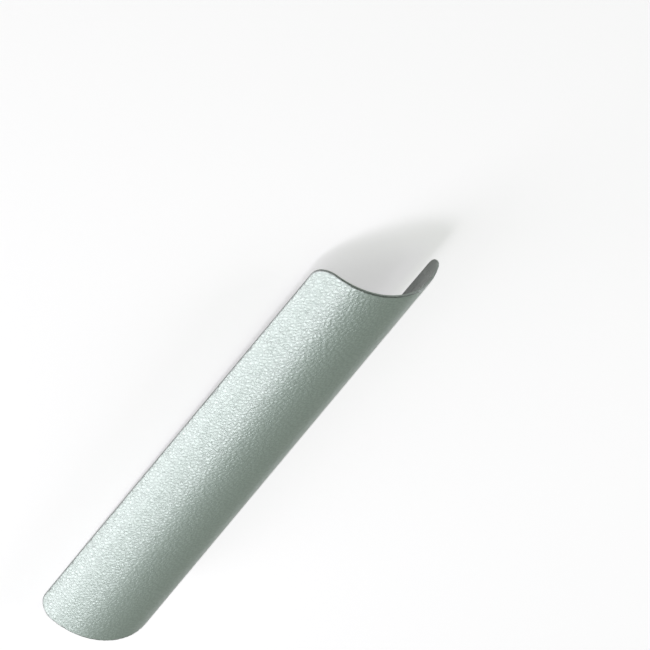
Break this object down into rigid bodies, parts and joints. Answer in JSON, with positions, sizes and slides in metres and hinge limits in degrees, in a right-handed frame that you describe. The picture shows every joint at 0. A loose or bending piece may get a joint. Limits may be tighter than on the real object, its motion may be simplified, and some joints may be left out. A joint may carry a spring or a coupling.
{
  "type": "bicycle frame protector",
  "caption": "Thin leather-grained film guard, curved and tapered, with round corners, that sticks under a bicycle's down tube.",
  "frame": {"origin": "under the middle of the film, level with its lowest edge, with the axis of the bend directly below the crown", "axes": "+X along the bend towards the narrower top end, +Z out of the crown of the outer face, +Y towards one long edge"},
  "size_m": [0.215, 0.0498, 0.0186],
  "materials": {
    "grained_film": "satin, pearly silver-grey leather-grained film"
  },
  "bodies": {
    "root": {"protector_film": "grained_film"}
  },
  "joints": []
}
